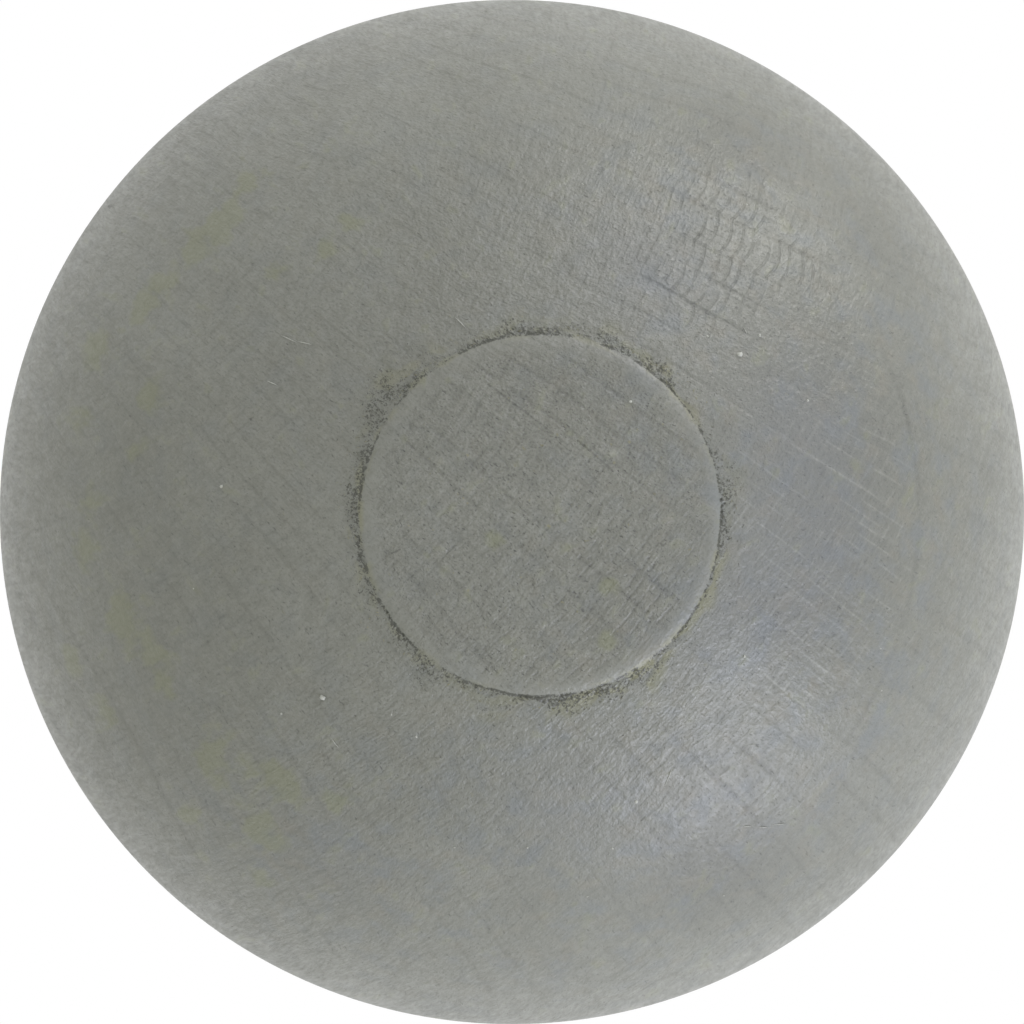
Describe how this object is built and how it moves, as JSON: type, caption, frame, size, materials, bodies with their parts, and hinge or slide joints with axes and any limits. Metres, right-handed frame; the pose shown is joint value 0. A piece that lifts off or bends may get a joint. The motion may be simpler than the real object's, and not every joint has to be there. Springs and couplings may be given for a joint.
{
  "type": "wooden ball end cap",
  "caption": "Turned wooden ball end cap with a low round boss on its front and, in a flat seat at its back, a blind socket that pushes onto the end of a round rod.",
  "frame": {"origin": "centre of the rod socket's mouth, in the plane of the flat seat", "axes": "+Z along the socket's axis and the wood's grain, from the seat at the back to the boss at the front; X and Y are equal directions across it"},
  "size_m": [0.05, 0.05, 0.0467],
  "materials": {
    "stained_wood": "grey stained and thinly lacquered, satin"
  },
  "bodies": {
    "root": {"ball": "stained_wood"}
  },
  "joints": []
}
